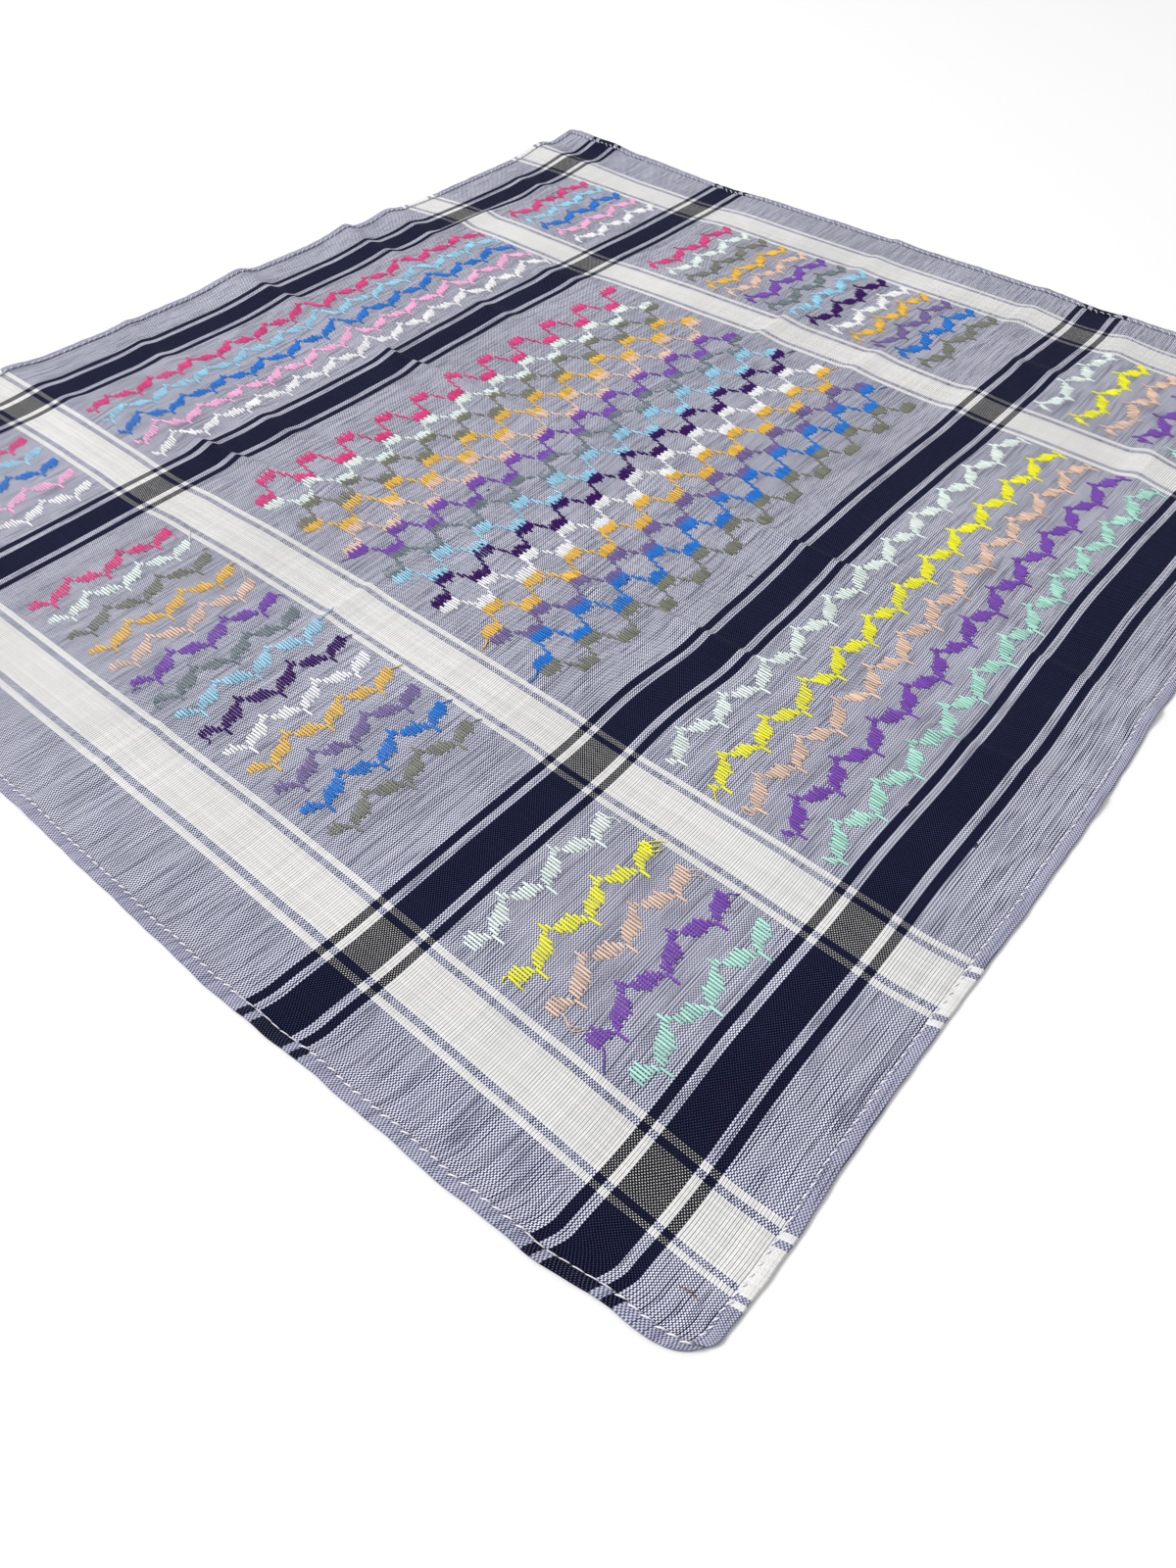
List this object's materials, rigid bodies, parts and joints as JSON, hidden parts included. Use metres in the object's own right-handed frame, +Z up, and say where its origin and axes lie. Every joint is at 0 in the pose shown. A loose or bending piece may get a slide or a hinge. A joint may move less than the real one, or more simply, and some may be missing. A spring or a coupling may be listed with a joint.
{
  "type": "bandana",
  "caption": "Square woven cotton bandana laid flat, with checked stripes, brocaded waves and net, turned hems and soft storage folds.",
  "frame": {"origin": "on the table under the middle of the laid cloth's box", "axes": "+X along the dark stripes, the longer side; +Y along the white stripes; +Z up, off the table"},
  "size_m": [0.5524, 0.5084, 0.007],
  "materials": {
    "woven_cotton": "matte plain weave of pale and navy yarns",
    "turned_hem": "matte, two layers of the same weave",
    "seam_thread": "pale lilac sewing thread",
    "brocade_thread": "soft cotton threads in bright colours, slight sheen"
  },
  "bodies": {
    "root": {"cloth_panel": "woven_cotton", "hem_near_left": "turned_hem", "hem_near_right": "turned_hem", "hem_far_left": "turned_hem", "hem_far_right": "turned_hem"}
  },
  "joints": []
}
